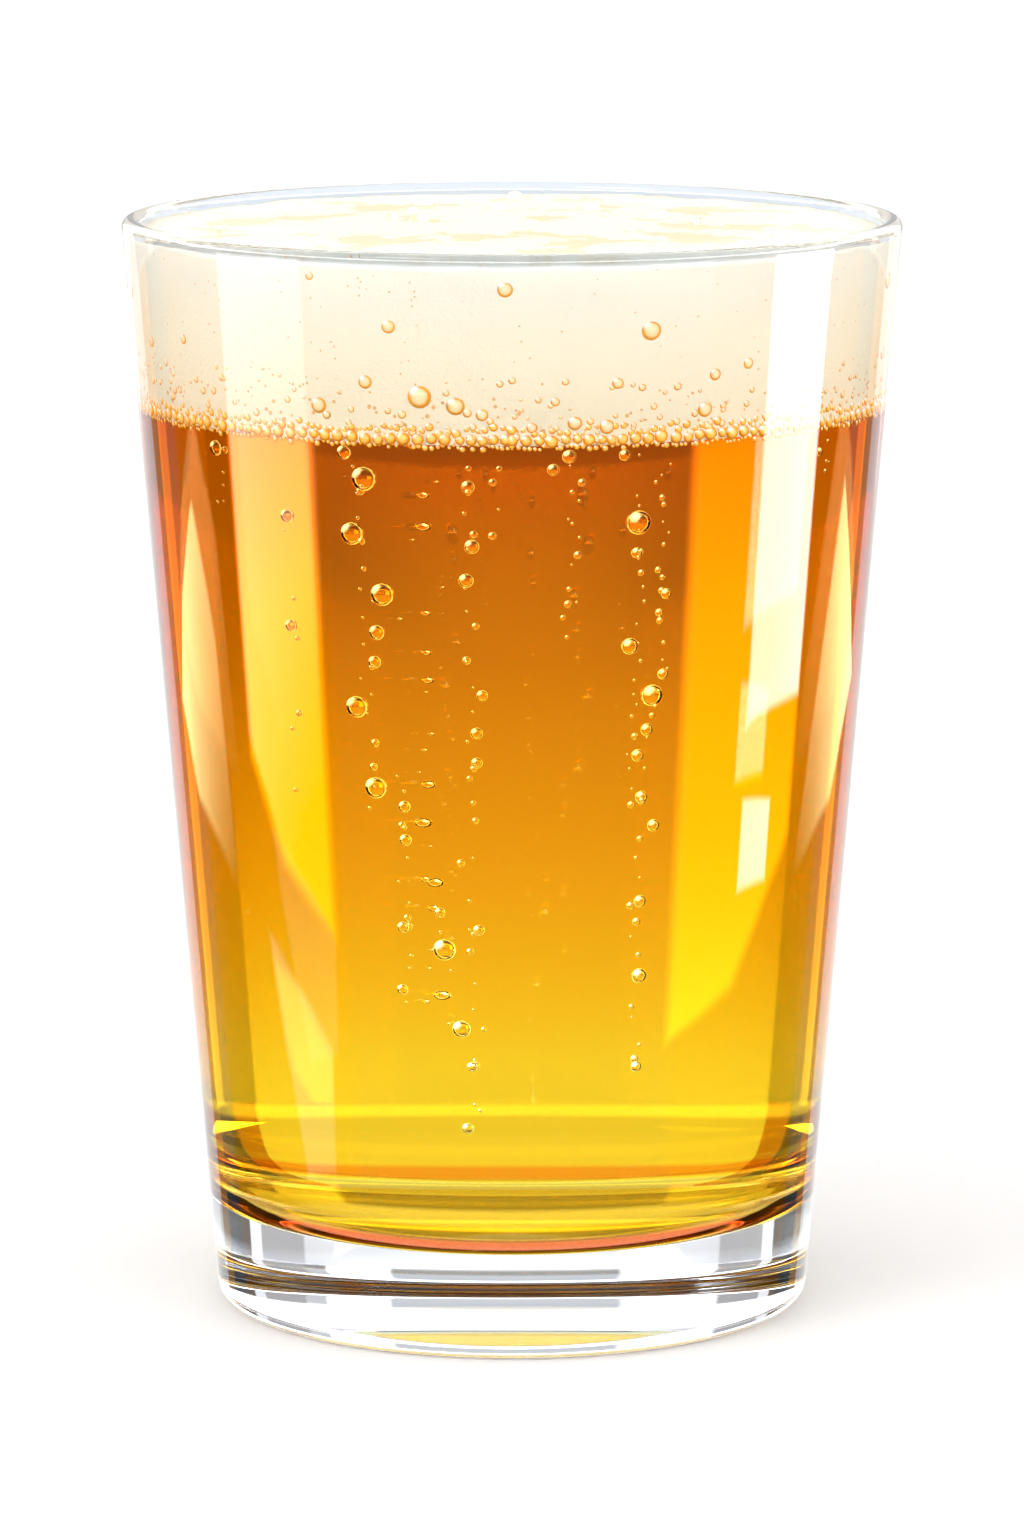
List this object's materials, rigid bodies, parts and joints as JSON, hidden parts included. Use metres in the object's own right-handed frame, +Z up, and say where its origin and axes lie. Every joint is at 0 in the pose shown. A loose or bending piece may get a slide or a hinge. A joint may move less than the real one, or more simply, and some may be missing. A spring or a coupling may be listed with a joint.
{
  "type": "pint of beer",
  "caption": "Plain conical glass with a thick foot, filled with clear amber beer under a tall cream head of foam.",
  "frame": {"origin": "centre of the ring that the glass stands on, in the plane of the table", "axes": "+Z up along the axis that the glass is turned about; the part is the same all round that axis"},
  "size_m": [0.093, 0.093, 0.1315],
  "materials": {
    "glass": "clear polished soda-lime glass",
    "beer": "clear amber liquid",
    "foam": "fine wet foam"
  },
  "bodies": {
    "root": {"glass": "glass", "beer": "beer", "foam": "foam"}
  },
  "joints": []
}
